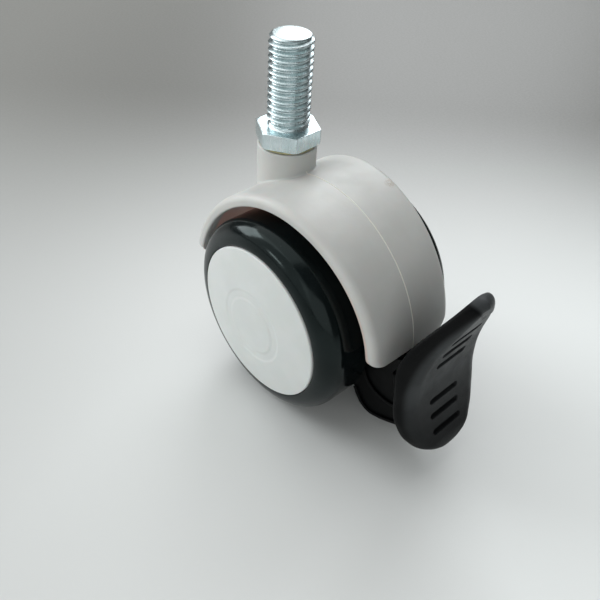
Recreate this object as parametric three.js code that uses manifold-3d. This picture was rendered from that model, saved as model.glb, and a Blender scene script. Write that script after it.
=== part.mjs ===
// Twin-wheel swivel caster: threaded stem, moulded hood, two tyred wheels and a rocker brake pedal.
// Millimetres. +Z runs up the stem, +X points from the axle to the pedal, +Y runs along the axle,
// and Z = 0 is the floor under the tyres. Travelling stem first, the left wheel is the one at -Y.
import * as THREE from 'three';
import { mergeVertices } from 'three/addons/utils/BufferGeometryUtils.js';
import Module from 'manifold-3d';

const wasm = await Module();
wasm.setup();

// Driving dimensions.
const WHEEL_R = 25;
const WHEEL_INNER_Y = 6.2;
const CAP_FACE_Y = 20.9;
const CAP_DOME = 1.9;
const STEM_X = -14.5;
const STEM_TOP_Z = 84.9;
const HEX_TOP_Z = 64.5;
const HEX_H = 3.7;
const HEX_CORNER_R = 7.8;
const THREAD_CREST_R = 4.92;
const THREAD_PITCH = 1.5;
const NECK_R = 7.0;
const NECK_TOP_Z = 60.1;
const HOOD_R = 31.05;
const HOOD_HALF_WIDTH = 15.1;
const HOOD_TAPER = 2.3;
const HOOD_FRONT_DROP = 1.5;
const HOOD_WALL = 2.2;
const HOOD_RIM = 2.95;
const HOOD_REAR_DEG = 5.6;
const HOOD_FRONT_DEG = 173.5;
const WEB_HALF = 2.0;
const BRAKE_TRAVEL_DEG = 8;

// Clearances: between pieces that move, between pieces that only meet, and past a mesh's last digit.
const RUN = 0.08;
const FIT = 0.15;
const CUT = 0.3;

const AXLE = new THREE.Vector2(0, WHEEL_R);
const AXLE_R = 2.5;
const RIM_R = 19.6;
const PIVOT = new THREE.Vector2(15, 15);
const PIVOT_R = 2.4;

// ---- Helpers -------------------------------------------------------------------------------

const rad = THREE.MathUtils.degToRad;
const v2 = (x, y) => new THREE.Vector2(x, y);

function polar(centre, radius, degrees) {
  const a = rad(degrees);
  return v2(centre.x + radius * Math.cos(a), centre.y + radius * Math.sin(a));
}

function arc(centre, radius, fromDeg, toDeg, steps) {
  const points = [];
  for (let i = 0; i <= steps; i += 1) {
    points.push(polar(centre, radius, fromDeg + ((toDeg - fromDeg) * i) / steps));
  }
  return points;
}

function smooth(t) {
  return THREE.MathUtils.smoothstep(t, 0, 1);
}

function signedVolume(positions, index) {
  let sum = 0;
  const corner = [new THREE.Vector3(), new THREE.Vector3(), new THREE.Vector3()];
  for (let i = 0; i < index.length; i += 3) {
    for (let k = 0; k < 3; k += 1) {
      corner[k].fromArray(positions, 3 * index[i + k]);
    }
    sum += corner[0].dot(corner[1].cross(corner[2])) / 6;
  }
  return sum;
}

// A closed three.js geometry as a manifold solid, turned right side out if it has to be.
function solid(geometry) {
  const bare = geometry.clone();
  bare.deleteAttribute('normal');
  bare.deleteAttribute('uv');
  const merged = mergeVertices(bare, 1e-4);
  const positions = merged.attributes.position.array;
  const triangles = [];
  const index = merged.index.array;
  for (let i = 0; i < index.length; i += 3) {
    const [a, b, c] = [index[i], index[i + 1], index[i + 2]];
    if (a !== b && b !== c && c !== a) {
      triangles.push(a, b, c);
    }
  }
  if (signedVolume(positions, triangles) < 0) {
    for (let i = 0; i < triangles.length; i += 3) {
      [triangles[i + 1], triangles[i + 2]] = [triangles[i + 2], triangles[i + 1]];
    }
  }
  return new wasm.Manifold(new wasm.Mesh({
    numProp: 3,
    vertProperties: new Float32Array(positions),
    triVerts: new Uint32Array(triangles),
  }));
}

function geometryOf(manifold) {
  const mesh = manifold.getMesh();
  const geometry = new THREE.BufferGeometry();
  geometry.setAttribute('position', new THREE.BufferAttribute(mesh.vertProperties, 3));
  geometry.setIndex(new THREE.BufferAttribute(mesh.triVerts, 1));
  geometry.computeVertexNormals();
  return geometry;
}

// Turned pieces: profile points are (radius, height along the axis).
function turnedZ(profile, segments, x = STEM_X) {
  return new THREE.LatheGeometry(profile, segments).rotateX(Math.PI / 2).translate(x, 0, 0);
}

function turnedY(profile, segments) {
  return new THREE.LatheGeometry(profile, segments).translate(AXLE.x, 0, AXLE.y);
}

function ring(innerR, outerR, from, to) {
  const profile = [v2(innerR, from), v2(outerR, from), v2(outerR, to), v2(innerR, to)];
  return [...profile, profile[0]];
}

// Outlines given in X and Z, extruded along Y from one height of Y to the other.
function extrudedY(outline, fromY, toY, holes = []) {
  const shape = new THREE.Shape(outline);
  shape.holes = holes.map((points) => new THREE.Path(points));
  const geometry = new THREE.ExtrudeGeometry(shape, { depth: toY - fromY, bevelEnabled: false });
  return geometry.rotateX(Math.PI / 2).translate(0, toY, 0);
}

function extrudedZ(outline, fromZ, toZ) {
  const shape = new THREE.Shape(outline);
  const geometry = new THREE.ExtrudeGeometry(shape, { depth: toZ - fromZ, bevelEnabled: false });
  return geometry.translate(0, 0, fromZ);
}

function barY(centre, radius, fromY, toY, segments = 24) {
  return extrudedY(arc(centre, radius, 0, 360 - 360 / segments, segments - 1), fromY, toY);
}

// Closed sections joined in order; the flat copies of the first and last section cap the ends.
function loft(sections, firstFlat, lastFlat) {
  const count = sections[0].length;
  const positions = sections.flat().flatMap((p) => p.toArray());
  const index = [];
  for (let s = 0; s + 1 < sections.length; s += 1) {
    for (let i = 0; i < count; i += 1) {
      const a = s * count + i;
      const b = s * count + ((i + 1) % count);
      index.push(a, b, a + count, b, b + count, a + count);
    }
  }
  const last = (sections.length - 1) * count;
  for (const [a, b, c] of THREE.ShapeUtils.triangulateShape(firstFlat, [])) {
    index.push(c, b, a);
  }
  for (const [a, b, c] of THREE.ShapeUtils.triangulateShape(lastFlat, [])) {
    index.push(last + a, last + b, last + c);
  }
  const geometry = new THREE.BufferGeometry();
  geometry.setAttribute('position', new THREE.Float32BufferAttribute(positions, 3));
  geometry.setIndex(index);
  return geometry;
}

// A strip of constant thickness that follows a line of points in X and Z.
function strip(points, thickness) {
  const side = (sign) => points.map((point, i) => {
    const before = points[Math.max(i - 1, 0)];
    const after = points[Math.min(i + 1, points.length - 1)];
    const along = after.clone().sub(before).normalize();
    return v2(point.x - along.y * sign, point.y + along.x * sign);
  });
  return [...side(thickness / 2), ...side(-thickness / 2).reverse()];
}

function turnAbout(pivot, point, degrees) {
  const a = rad(degrees);
  const dx = point.x - pivot.x;
  const dz = point.y - pivot.y;
  return v2(
    pivot.x + dx * Math.cos(a) + dz * Math.sin(a),
    pivot.y - dx * Math.sin(a) + dz * Math.cos(a),
  );
}

// ---- Materials -----------------------------------------------------------------------------

function material(color, roughness, metalness = 0) {
  return new THREE.MeshStandardMaterial({ color, roughness, metalness });
}

const zincPlate = material(0xc9d3d6, 0.28, 1);
const yellowZinc = material(0xb9a65a, 0.35, 1);
const springSteel = material(0x8c9196, 0.35, 1);
const steel = material(0xb4b8bb, 0.3, 1);
const acetal = material(0xe9e4d2, 0.5);
const hoodPlastic = material(0xe6e6e3, 0.45);
const corePlastic = material(0xc9cac6, 0.55);
const capPlastic = material(0xd3d7d3, 0.5);
const polyurethane = material(0x15191a, 0.2);
const pedalPlastic = material(0x2a2b2d, 0.6);
const shoeRubber = material(0x1d1d1d, 0.85);

// ---- Stem and swivel -----------------------------------------------------------------------

const HEX_BOTTOM_Z = HEX_TOP_Z - HEX_H;
const JOURNAL_R = 3.8;
const JOURNAL_BOTTOM_Z = 51.5;
const PIN_R = 3.0;
const PIN_BOTTOM_Z = 46;
const RING_Z = 48;
const RING_T = 0.8;
const RING_GROOVE_R = 2.4;

// A right-hand thread as one long helical skin: every column of points is a fraction of a pitch
// higher than the one before it, so the first column meets the last one a full turn further up.
function threadSkin(fromZ, toZ) {
  const columns = 16;
  const perPitch = 4;
  const rootR = THREAD_CREST_R - 0.86;
  const radii = [THREAD_CREST_R, (THREAD_CREST_R + rootR) / 2, rootR, (THREAD_CREST_R + rootR) / 2];
  const rows = Math.ceil(((toZ - fromZ) / THREAD_PITCH) * perPitch) + perPitch;
  const positions = [];
  for (let c = 0; c < columns; c += 1) {
    const a = (2 * Math.PI * c) / columns;
    for (let r = 0; r <= rows; r += 1) {
      const z = fromZ + THREAD_PITCH * (r / perPitch + c / columns - 1);
      const radius = radii[r % perPitch];
      positions.push(STEM_X + radius * Math.cos(a), radius * Math.sin(a), z);
    }
  }
  const stride = rows + 1;
  const index = [];
  for (let c = 0; c < columns; c += 1) {
    const wraps = c + 1 === columns;
    const lift = wraps ? perPitch : 0;
    const next = wraps ? 0 : (c + 1) * stride;
    for (let r = 0; r < rows - lift; r += 1) {
      const a = c * stride + r;
      const b = next + r + lift;
      index.push(a, b, a + 1, b, b + 1, a + 1);
    }
  }
  const bottom = positions.length / 3;
  positions.push(STEM_X, 0, fromZ - THREAD_PITCH);
  const top = bottom + 1;
  positions.push(STEM_X, 0, toZ + THREAD_PITCH);
  for (let c = 0; c + 1 < columns; c += 1) {
    index.push(bottom, (c + 1) * stride, c * stride);
    index.push(top, c * stride + rows, (c + 1) * stride + rows);
  }
  // The seam: the first column stands one pitch lower than the last one meets it.
  index.push(bottom, perPitch, (columns - 1) * stride);
  for (let r = 0; r < perPitch; r += 1) {
    index.push(bottom, r, r + 1);
    const last = (columns - 1) * stride + rows - perPitch + r;
    index.push(top, last + 1, last);
  }
  index.push(top, (columns - 1) * stride + rows - perPitch, rows);
  const geometry = new THREE.BufferGeometry();
  geometry.setAttribute('position', new THREE.Float32BufferAttribute(positions, 3));
  geometry.setIndex(index);
  return geometry;
}

function threadedStem() {
  const envelope = turnedZ([
    v2(0, HEX_TOP_Z - 0.5),
    v2(4.8, HEX_TOP_Z - 0.5),
    v2(4.8, HEX_TOP_Z + 0.1),
    v2(4.0, HEX_TOP_Z + 0.9),
    v2(4.0, HEX_TOP_Z + 1.7),
    v2(5.2, HEX_TOP_Z + 2.9),
    v2(5.2, STEM_TOP_Z - 1.0),
    v2(4.2, STEM_TOP_Z),
    v2(0, STEM_TOP_Z),
  ], 32);
  const base = turnedZ([
    v2(0, HEX_TOP_Z - 1),
    v2(4.8, HEX_TOP_Z - 1),
    v2(4.8, HEX_TOP_Z + 0.1),
    v2(4.0, HEX_TOP_Z + 0.9),
    v2(3.9, HEX_TOP_Z + 3),
    v2(0, HEX_TOP_Z + 3),
  ], 32);
  const thread = solid(threadSkin(HEX_TOP_Z - 2, STEM_TOP_Z + 2)).intersect(solid(envelope));

  const corners = [];
  for (let k = 0; k < 6; k += 1) {
    corners.push(polar(v2(STEM_X, 0), HEX_CORNER_R, 33 + 60 * k));
  }
  const hexBlank = turnedZ([
    v2(0, HEX_BOTTOM_Z),
    v2(7.2, HEX_BOTTOM_Z),
    v2(7.9, HEX_BOTTOM_Z + 0.4),
    v2(7.9, HEX_TOP_Z - 0.3),
    v2(7.3, HEX_TOP_Z),
    v2(0, HEX_TOP_Z),
  ], 36);
  const hex = solid(extrudedZ(corners, HEX_BOTTOM_Z - 1, HEX_TOP_Z + 1)).intersect(solid(hexBlank));

  const shank = turnedZ([
    v2(0, PIN_BOTTOM_Z),
    v2(PIN_R - 0.7, PIN_BOTTOM_Z),
    v2(PIN_R, PIN_BOTTOM_Z + 0.7),
    v2(PIN_R, RING_Z - RING_T / 2 - RUN),
    v2(RING_GROOVE_R, RING_Z - RING_T / 2 - RUN),
    v2(RING_GROOVE_R, RING_Z + RING_T / 2 + RUN),
    v2(PIN_R, RING_Z + RING_T / 2 + RUN),
    v2(PIN_R, JOURNAL_BOTTOM_Z),
    v2(JOURNAL_R, JOURNAL_BOTTOM_Z + 0.8),
    v2(JOURNAL_R, HEX_BOTTOM_Z + 0.5),
    v2(0, HEX_BOTTOM_Z + 0.5),
  ], 32);
  return thread.add(solid(base)).add(hex).add(solid(shank));
}

const BUSH_OUTER_R = 5.6;
const BUSH_FLANGE_Z = NECK_TOP_Z - 0.9;

function swivelBush() {
  const inner = JOURNAL_R + RUN;
  const profile = [
    v2(inner, JOURNAL_BOTTOM_Z + 1),
    v2(BUSH_OUTER_R, JOURNAL_BOTTOM_Z + 1),
    v2(BUSH_OUTER_R, BUSH_FLANGE_Z - 0.9),
    v2(BUSH_OUTER_R + 0.7, BUSH_FLANGE_Z - 0.9),
    v2(BUSH_OUTER_R + 0.7, NECK_TOP_Z - 0.1),
    v2(inner, NECK_TOP_Z - 0.1),
  ];
  return turnedZ([...profile, profile[0]], 32);
}

// A spring clip with a gap, sprung into the groove near the end of the swivel pin.
function stemRetainingRing() {
  const outer = 4.3;
  const inner = RING_GROOVE_R + RUN;
  const centre = v2(STEM_X, 0);
  const gapDeg = 28;
  const outline = [
    ...arc(centre, outer, gapDeg, 360 - gapDeg, 20),
    ...arc(centre, inner, 360 - gapDeg, gapDeg, 20),
  ];
  return extrudedZ(outline, RING_Z - RING_T / 2, RING_Z + RING_T / 2);
}

// ---- Housing: hood, neck, web and bosses in one moulding ---------------------------------------

const BOSS_HALF = 5.4;
const BOSS_R = 6.5;
const HOOD_CORNER_R = 3;

function hoodRadius(degrees) {
  return HOOD_R - HOOD_FRONT_DROP * smooth((degrees - 85) / 70);
}

function hoodHalfWidth(degrees) {
  const fromEnd = Math.min(degrees - HOOD_REAR_DEG, HOOD_FRONT_DEG - degrees);
  const reach = Math.min(rad(fromEnd) * HOOD_R, HOOD_CORNER_R) / HOOD_CORNER_R;
  const corner = HOOD_CORNER_R * (1 - Math.sqrt(1 - (1 - reach) ** 2));
  return HOOD_HALF_WIDTH - HOOD_TAPER * Math.cos(rad(degrees)) - corner;
}

// Half of the hood's section, from the crown out to the rim and back along the inside, as
// (radius from the axle, distance from the middle).
function hoodSection(degrees) {
  const r = hoodRadius(degrees);
  const w = hoodHalfWidth(degrees);
  const half = [
    v2(r, w - 2.0),
    v2(r - 0.2, w - 1.0),
    v2(r - 0.65, w - 0.27),
    v2(r - 1.5, w),
    v2(r - HOOD_RIM + 0.5, w),
    v2(r - HOOD_RIM, w - 0.5),
    v2(r - HOOD_RIM, w - 1.7),
    v2(r - HOOD_WALL, w - 2.7),
  ];
  const mirrored = half.map((p) => v2(p.x, -p.y)).reverse();
  return [...half, ...mirrored];
}

function hoodShell() {
  const endSteps = [0, 0.4, 1.1, 2, 3.2, 5.6];
  const middleSteps = 28;
  const from = HOOD_REAR_DEG + endSteps.at(-1);
  const to = HOOD_FRONT_DEG - endSteps.at(-1);
  const angles = [
    ...endSteps.slice(0, -1).map((d) => HOOD_REAR_DEG + d),
    ...Array.from({ length: middleSteps + 1 }, (_, i) => from + ((to - from) * i) / middleSteps),
    ...endSteps.slice(0, -1).reverse().map((d) => HOOD_FRONT_DEG - d),
  ];
  const sections = angles.map((degrees) => hoodSection(degrees).map((p) => {
    const at = polar(AXLE, p.x, degrees);
    return new THREE.Vector3(at.x, p.y, at.y);
  }));
  return loft(sections, hoodSection(angles[0]), hoodSection(angles.at(-1)));
}

function housing() {
  const centre = v2(STEM_X, 0);
  const inside = HOOD_R - HOOD_WALL + 0.6;
  const web = extrudedY([
    ...arc(AXLE, inside, HOOD_REAR_DEG + 3, 100, 16),
    ...arc(AXLE, inside - 1, 105, 136, 6),
    v2(-17, 36),
    v2(-8, 21),
    ...arc(AXLE, BOSS_R - 1, -120, -60, 3),
    v2(8.5, 18.4),
    ...arc(PIVOT, 5.5, -170, 10, 12),
    v2(20.6, 24.6),
    v2(24, 25.6),
  ], -WEB_HALF, WEB_HALF);
  const boss = barY(AXLE, BOSS_R, -BOSS_HALF, BOSS_HALF, 32);
  const neck = turnedZ([
    v2(0, 38),
    v2(NECK_R, 38),
    v2(NECK_R, NECK_TOP_Z - 0.3),
    v2(NECK_R - 0.3, NECK_TOP_Z),
    v2(0, NECK_TOP_Z),
  ], 36);
  const pinSocket = turnedZ([
    v2(0, PIN_BOTTOM_Z - 2.4),
    v2(5.4, PIN_BOTTOM_Z - 2.4),
    v2(6, PIN_BOTTOM_Z - 1.8),
    v2(6, 51),
    v2(0, 51),
  ], 24);
  const hood = solid(hoodShell());
  // The socket stays inside the hood's crown and ends short of its front.
  const underCrown = solid(barY(AXLE, 27.6, -8, 8, 48));
  let body = hood
    .add(solid(web))
    .add(solid(boss))
    .add(solid(pinSocket).intersect(underCrown));
  const wells = [1, -1].map((side) => {
    const near = side * 5.75;
    const far = side * 40;
    return solid(barY(AXLE, 26.35, Math.min(near, far), Math.max(near, far), 48));
  });
  body = body.add(solid(neck).subtract(wells[0]).subtract(wells[1]));

  const bore = turnedZ([
    v2(0, PIN_BOTTOM_Z - 0.8),
    v2(PIN_R + RUN, PIN_BOTTOM_Z - 0.8),
    v2(PIN_R + RUN, RING_Z - 1.2),
    v2(4.6, RING_Z - 1.2),
    v2(4.6, RING_Z + 0.7),
    v2(PIN_R + RUN, RING_Z + 0.7),
    v2(PIN_R + RUN, JOURNAL_BOTTOM_Z - 0.2),
    v2(JOURNAL_R + 0.1, JOURNAL_BOTTOM_Z + 0.6),
    v2(BUSH_OUTER_R + FIT, JOURNAL_BOTTOM_Z + 0.6),
    v2(BUSH_OUTER_R + FIT, BUSH_FLANGE_Z - 1.1),
    v2(BUSH_OUTER_R + 0.7 + FIT, BUSH_FLANGE_Z - 1.1),
    v2(BUSH_OUTER_R + 0.7 + FIT, NECK_TOP_Z + 1),
    v2(0, NECK_TOP_Z + 1),
  ], 32);
  const springSlit = extrudedY([
    v2(18.7, 24.5),
    v2(19.7, 24.5),
    v2(19.7, 27.6),
    v2(18.7, 27.6),
  ], -WEB_HALF - 1, WEB_HALF + 1);
  const springPocket = extrudedY([
    v2(18.0, 17.4),
    v2(23, 17.4),
    v2(23, 25),
    v2(18.0, 25),
  ], -WEB_HALF - 1, WEB_HALF + 1);
  const cuts = [
    bore,
    barY(AXLE, AXLE_R + 0.05, -30, 30, 24),
    barY(PIVOT, PIVOT_R + 0.05, -5, 5, 24),
    springSlit,
    springPocket,
  ];
  for (const cut of cuts) {
    body = body.subtract(solid(cut));
  }
  return body;
}

// ---- Wheels --------------------------------------------------------------------------------

const DRUM_R = 8.5;
const HUB_BORE_R = 4.35;
const WEB_INNER_Y = 12.6;
const WEB_OUTER_Y = 14.6;
const RIM_INSIDE_R = 17;

// side is -1 for the left wheel and 1 for the right one; profiles are drawn for the right one.
function sided(profile, side) {
  return profile.map((p) => v2(p.x, p.y * side));
}

function tyre(side) {
  const inner = RIM_R + FIT;
  const shoulder = [];
  const axial = 4.8;
  const outerY = CAP_FACE_Y - 0.35;
  for (let i = 0; i <= 7; i += 1) {
    const a = rad((90 * i) / 7);
    shoulder.push(v2(
      inner + (WHEEL_R - inner) * Math.cos(a),
      outerY - axial + axial * Math.sin(a),
    ));
  }
  const profile = [
    v2(inner, WHEEL_INNER_Y + 0.3),
    v2(WHEEL_R - 1.6, WHEEL_INNER_Y + 0.3),
    v2(WHEEL_R - 0.45, WHEEL_INNER_Y + 0.8),
    v2(WHEEL_R, WHEEL_INNER_Y + 2),
    ...shoulder,
  ];
  return turnedY(sided([...profile, profile[0]], side), 48);
}

function wheelCore(side) {
  const outline = [
    v2(HUB_BORE_R, WHEEL_INNER_Y),
    v2(DRUM_R - 0.3, WHEEL_INNER_Y),
    v2(DRUM_R, WHEEL_INNER_Y + 0.3),
    v2(DRUM_R, WEB_INNER_Y),
    v2(RIM_INSIDE_R, WEB_INNER_Y),
    v2(RIM_INSIDE_R + 0.6, WHEEL_INNER_Y + 0.2),
    v2(RIM_R, WHEEL_INNER_Y + 0.2),
    v2(RIM_R, 19.2),
    v2(RIM_INSIDE_R, 19.2),
    v2(RIM_INSIDE_R, WEB_OUTER_Y),
    v2(7, WEB_OUTER_Y),
    v2(7, 16.4),
    v2(HUB_BORE_R, 16.4),
  ];
  let core = solid(turnedY(sided([...outline, outline[0]], side), 40));
  const ribs = 6;
  for (let k = 0; k < ribs; k += 1) {
    const rib = new THREE.BoxGeometry(15.2 - 6.5, 2.2, 1.6);
    rib.translate((15.2 + 6.5) / 2, side * (WEB_OUTER_Y + 1), 0);
    rib.rotateY((2 * Math.PI * k) / ribs);
    rib.translate(AXLE.x, 0, AXLE.y);
    core = core.add(solid(rib));
  }
  return core;
}

// How far the cap's crowned face stands out beyond its rim at a radius.
function capRise(radius) {
  return CAP_DOME * (1 - (radius / RIM_R) ** 2);
}

// Pressed-in disc with a crowned face, a shallow ring moulded in it and a snap skirt behind.
function wheelCap(side) {
  const face = CAP_FACE_Y;
  const back = 19.45;
  const profile = [];
  for (const radius of [0, 5, 10, 15.4]) {
    profile.push(v2(radius, back + capRise(radius) - capRise(15.4)));
  }
  profile.push(
    v2(15.4, 17.4),
    v2(16.6, 17.4),
    v2(16.6, back),
    v2(RIM_R, back),
    v2(RIM_R, face - 0.45),
  );
  for (const radius of [RIM_R - 0.45, 17.2, 14.7, 12.2, 9.6]) {
    profile.push(v2(radius, face + capRise(radius)));
  }
  profile.push(
    v2(9.2, face + capRise(9.2) - 0.18),
    v2(7.8, face + capRise(7.8) - 0.18),
  );
  for (const radius of [7.4, 5, 2.5, 0]) {
    profile.push(v2(radius, face + capRise(radius)));
  }
  return turnedY(sided(profile, side), 40);
}

function hubBush(side) {
  const profile = ring(AXLE_R + RUN, HUB_BORE_R - FIT, WHEEL_INNER_Y, 16.2);
  return turnedY(sided(profile, side), 24);
}

function spacerWasher(side) {
  return turnedY(sided(ring(AXLE_R + RUN, 6, BOSS_HALF + FIT, WHEEL_INNER_Y - FIT), side), 24);
}

// Push-on star clip: its teeth bite the axle's end.
function axleClip(side) {
  const outer = arc(AXLE, 4.9, 0, 345, 23);
  const teeth = 8;
  const inner = [];
  for (let k = 0; k < teeth; k += 1) {
    const at = (360 * k) / teeth;
    inner.push(polar(AXLE, AXLE_R + RUN, at - 12));
    inner.push(polar(AXLE, AXLE_R + RUN, at + 12));
    inner.push(polar(AXLE, AXLE_R + 1.1, at + 17));
    inner.push(polar(AXLE, AXLE_R + 1.1, at + 28));
  }
  const [near, far] = [side * 16.6, side * 17.2];
  return extrudedY(outer, Math.min(near, far), Math.max(near, far), [inner]);
}

function axle() {
  const end = 18.4;
  const half = [v2(AXLE_R, end - 0.6), v2(AXLE_R - 0.5, end)];
  const profile = [
    v2(0, -end),
    ...half.map((p) => v2(p.x, -p.y)).reverse(),
    ...half,
    v2(0, end),
  ];
  return turnedY(profile, 24);
}

// ---- Brake ---------------------------------------------------------------------------------

// Pressing the pedal turns the shoe up against the drums, so the shoe's hollow face is an arc
// about the place that the axle's centre has, seen from the pedal, once the pedal is down.
const SHOE_CENTRE = turnAbout(PIVOT, AXLE, -BRAKE_TRAVEL_DEG);
const SHOE_FACE_R = DRUM_R + 0.25;
const SHOE_T = 2.8;
const SHOE_HALF_DEG = 22;
const SHOE_HALF_LENGTH = 11.6;
const CHEEK_HALF = 3.6;
const PAD_HALF = 8.5;
const PAD_T = 5.5;
const RIB_HALF = 4.2;
const SLOT_HALF = WEB_HALF + CUT;

// Pedal face: an arc in the middle plane that runs on straight above the upper grooves.
const FACE_CENTRE = v2(74.3, 29.5);
const FACE_R = 33.7;
const FACE_STRAIGHT_Z = 39.5;
const LEAF_BOTTOM_Z = 7.5;
const LEAF_TOP_Z = 51.3;
const LEAF_T = 5.1;
const LEAF_TIP_T = 3.4;
const LEAF_ROLL = 4.7;
const LEAF_EDGE = 0.6;

function faceX(z) {
  const bend = (at) => FACE_CENTRE.x - Math.sqrt(FACE_R ** 2 - (at - FACE_CENTRE.y) ** 2);
  if (z <= FACE_STRAIGHT_Z) {
    return bend(z);
  }
  const rise = FACE_STRAIGHT_Z - FACE_CENTRE.y;
  return bend(FACE_STRAIGHT_Z) + ((z - FACE_STRAIGHT_Z) * rise) / Math.sqrt(FACE_R ** 2 - rise ** 2);
}

// Half of the leaf's width against height: a round foot, a belly and a narrowing tip.
const leafWidths = new THREE.SplineCurve([
  v2(LEAF_BOTTOM_Z, 1.6),
  v2(8.2, 4.9),
  v2(9.8, 7.8),
  v2(13, 11),
  v2(18, 13.1),
  v2(25, 13.5),
  v2(31, 13.1),
  v2(38, 11.4),
  v2(44, 8.3),
  v2(48.5, 5),
  v2(LEAF_TOP_Z, 2.2),
]);

// How far the face falls back near its side and bottom edges, as a quarter ellipse.
function rollBack(fromSide, fromBottom, depth) {
  const side = THREE.MathUtils.clamp(1 - fromSide / LEAF_ROLL, 0, 1);
  const bottom = THREE.MathUtils.clamp(1 - fromBottom / LEAF_ROLL, 0, 1);
  const t = Math.min(Math.hypot(side, bottom), 1);
  return depth * (1 - Math.sqrt(1 - t * t));
}

function leafSolid() {
  const rows = 22;
  const across = 10;
  const flats = [];
  const sections = [];
  for (let i = 0; i <= rows; i += 1) {
    const point = leafWidths.getPoint(i / rows);
    const z = THREE.MathUtils.clamp(point.x, LEAF_BOTTOM_Z, LEAF_TOP_Z);
    const width = point.y;
    const thick = THREE.MathUtils.lerp(LEAF_T, LEAF_TIP_T, smooth((z - 38) / (LEAF_TOP_Z - 38)));
    const depth = thick - LEAF_EDGE;
    const flat = [];
    for (let k = 0; k <= across; k += 1) {
      const y = width * Math.sin(rad(-90 + (180 * k) / across));
      const back = rollBack(width - Math.abs(y), z - LEAF_BOTTOM_Z, depth);
      flat.push(v2(faceX(z) - back, y));
    }
    for (let k = across; k >= 0; k -= 1) {
      const y = width * Math.sin(rad(-90 + (180 * k) / across));
      flat.push(v2(faceX(z) - thick, y));
    }
    flats.push(flat);
    sections.push(flat.map((p) => new THREE.Vector3(p.x, p.y, z)));
  }
  return solid(loft(sections, flats[0], flats.at(-1)));
}

// Six finger grooves across the face: three under the tip, three over the foot.
const GROOVE_HEIGHTS = [13.9, 17.8, 21.8, 32.8, 36.7, 41.2];
const GROOVE_HALF = 4.7;
const GROOVE_R = 0.7;
const GROOVE_DEPTH = 1.0;

function groove(z) {
  const outline = [
    ...arc(v2(GROOVE_HALF - GROOVE_R, 0), GROOVE_R, -90, 90, 6),
    ...arc(v2(-GROOVE_HALF + GROOVE_R, 0), GROOVE_R, 90, 270, 6),
  ];
  const shape = new THREE.Shape(outline);
  const cutter = new THREE.ExtrudeGeometry(shape, { depth: 4, bevelEnabled: false });
  // Laid along Y with its depth along X, then tipped to stand square to the face.
  cutter.translate(0, 0, -GROOVE_DEPTH).rotateX(Math.PI / 2).rotateZ(Math.PI / 2);
  const rise = Math.min(z, FACE_STRAIGHT_Z) - FACE_CENTRE.y;
  cutter.rotateY(Math.asin(rise / FACE_R));
  cutter.translate(faceX(z), 0, z);
  return solid(cutter);
}

const ARM_LOWER_EDGE = [
  v2(10, 7.5),
  v2(16, 7.3),
  v2(19.2, 6.5),
  v2(20.5, 4.8),
  v2(22.2, 3.0),
  v2(24.8, 2.0),
  v2(28, 2.8),
  v2(31, 4.2),
  v2(34, 5.8),
  v2(42.5, 10.4),
];

function brakePedal() {
  const cradleOuter = SHOE_FACE_R + SHOE_T + FIT + 2.6;
  const cradleInner = SHOE_FACE_R + SHOE_T + FIT;
  const outline = [
    ...arc(SHOE_CENTRE, cradleOuter, -90 - SHOE_HALF_DEG, -76, 5),
    ...ARM_LOWER_EDGE,
    v2(42.3, 12),
    v2(38, 20),
    v2(36.4, 30.5),
    v2(30, 25.4),
    v2(24, 23),
    v2(14, 19.6),
    ...arc(PIVOT, 4.6, 110, 160, 3),
    v2(6.5, 12.8),
    ...arc(SHOE_CENTRE, cradleInner, -90 + SHOE_HALF_DEG, -90 - SHOE_HALF_DEG, 6),
  ];
  const slot = extrudedY([
    v2(6.3, 8.1),
    v2(21.6, 8.1),
    v2(21.6, 32),
    v2(6.3, 32),
  ], -SLOT_HALF, SLOT_HALF);
  let arm = solid(extrudedY(outline, -CHEEK_HALF, CHEEK_HALF));

  // Stiffening ribs: one along the lower edge, one inside it, and a boss round the pivot.
  const outerRib = strip(ARM_LOWER_EDGE.slice(2).map((p) => v2(p.x, p.y + 0.45)), 0.9);
  const innerRib = strip([
    v2(20.6, 16.4),
    v2(22.2, 13.4),
    v2(24.4, 11.4),
    v2(27.4, 10.5),
    v2(31, 10.7),
    v2(37, 12.6),
  ], 0.9);
  for (const rib of [outerRib, innerRib, arc(PIVOT, 4.2, 0, 345, 23)]) {
    arm = arm.add(solid(extrudedY(rib, -RIB_HALF, RIB_HALF)));
  }
  arm = arm.subtract(solid(slot)).subtract(solid(barY(PIVOT, PIVOT_R + RUN, -6, 6, 24)));

  // A pad on the back of the leaf, low down, where the arm runs into it.
  const padLine = [11, 14, 17, 20, 23].map((z) => v2(faceX(z) - LEAF_T - PAD_T / 2, z));
  arm = arm.add(solid(extrudedY(strip(padLine, PAD_T + 1), -PAD_HALF, PAD_HALF)));

  let pedal = leafSolid();
  for (const z of GROOVE_HEIGHTS) {
    pedal = pedal.subtract(groove(z));
  }
  return pedal.add(arm);
}

function brakeShoe() {
  const outline = [
    ...arc(SHOE_CENTRE, SHOE_FACE_R + SHOE_T, -90 - SHOE_HALF_DEG, -90 + SHOE_HALF_DEG, 8),
    ...arc(SHOE_CENTRE, SHOE_FACE_R, -90 + SHOE_HALF_DEG, -90 - SHOE_HALF_DEG, 8),
  ];
  return extrudedY(outline, -SHOE_HALF_LENGTH, SHOE_HALF_LENGTH);
}

function detentSpring() {
  const line = [v2(19.2, 27.2), v2(19.2, 24.2), v2(20.8, 20.8), v2(20.5, 20.1), v2(19.4, 18.2)];
  return extrudedY(strip(line, 0.5), -WEB_HALF + 0.3, WEB_HALF - 0.3);
}

// ---- Assembly ------------------------------------------------------------------------------

const group = new THREE.Group();

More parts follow.
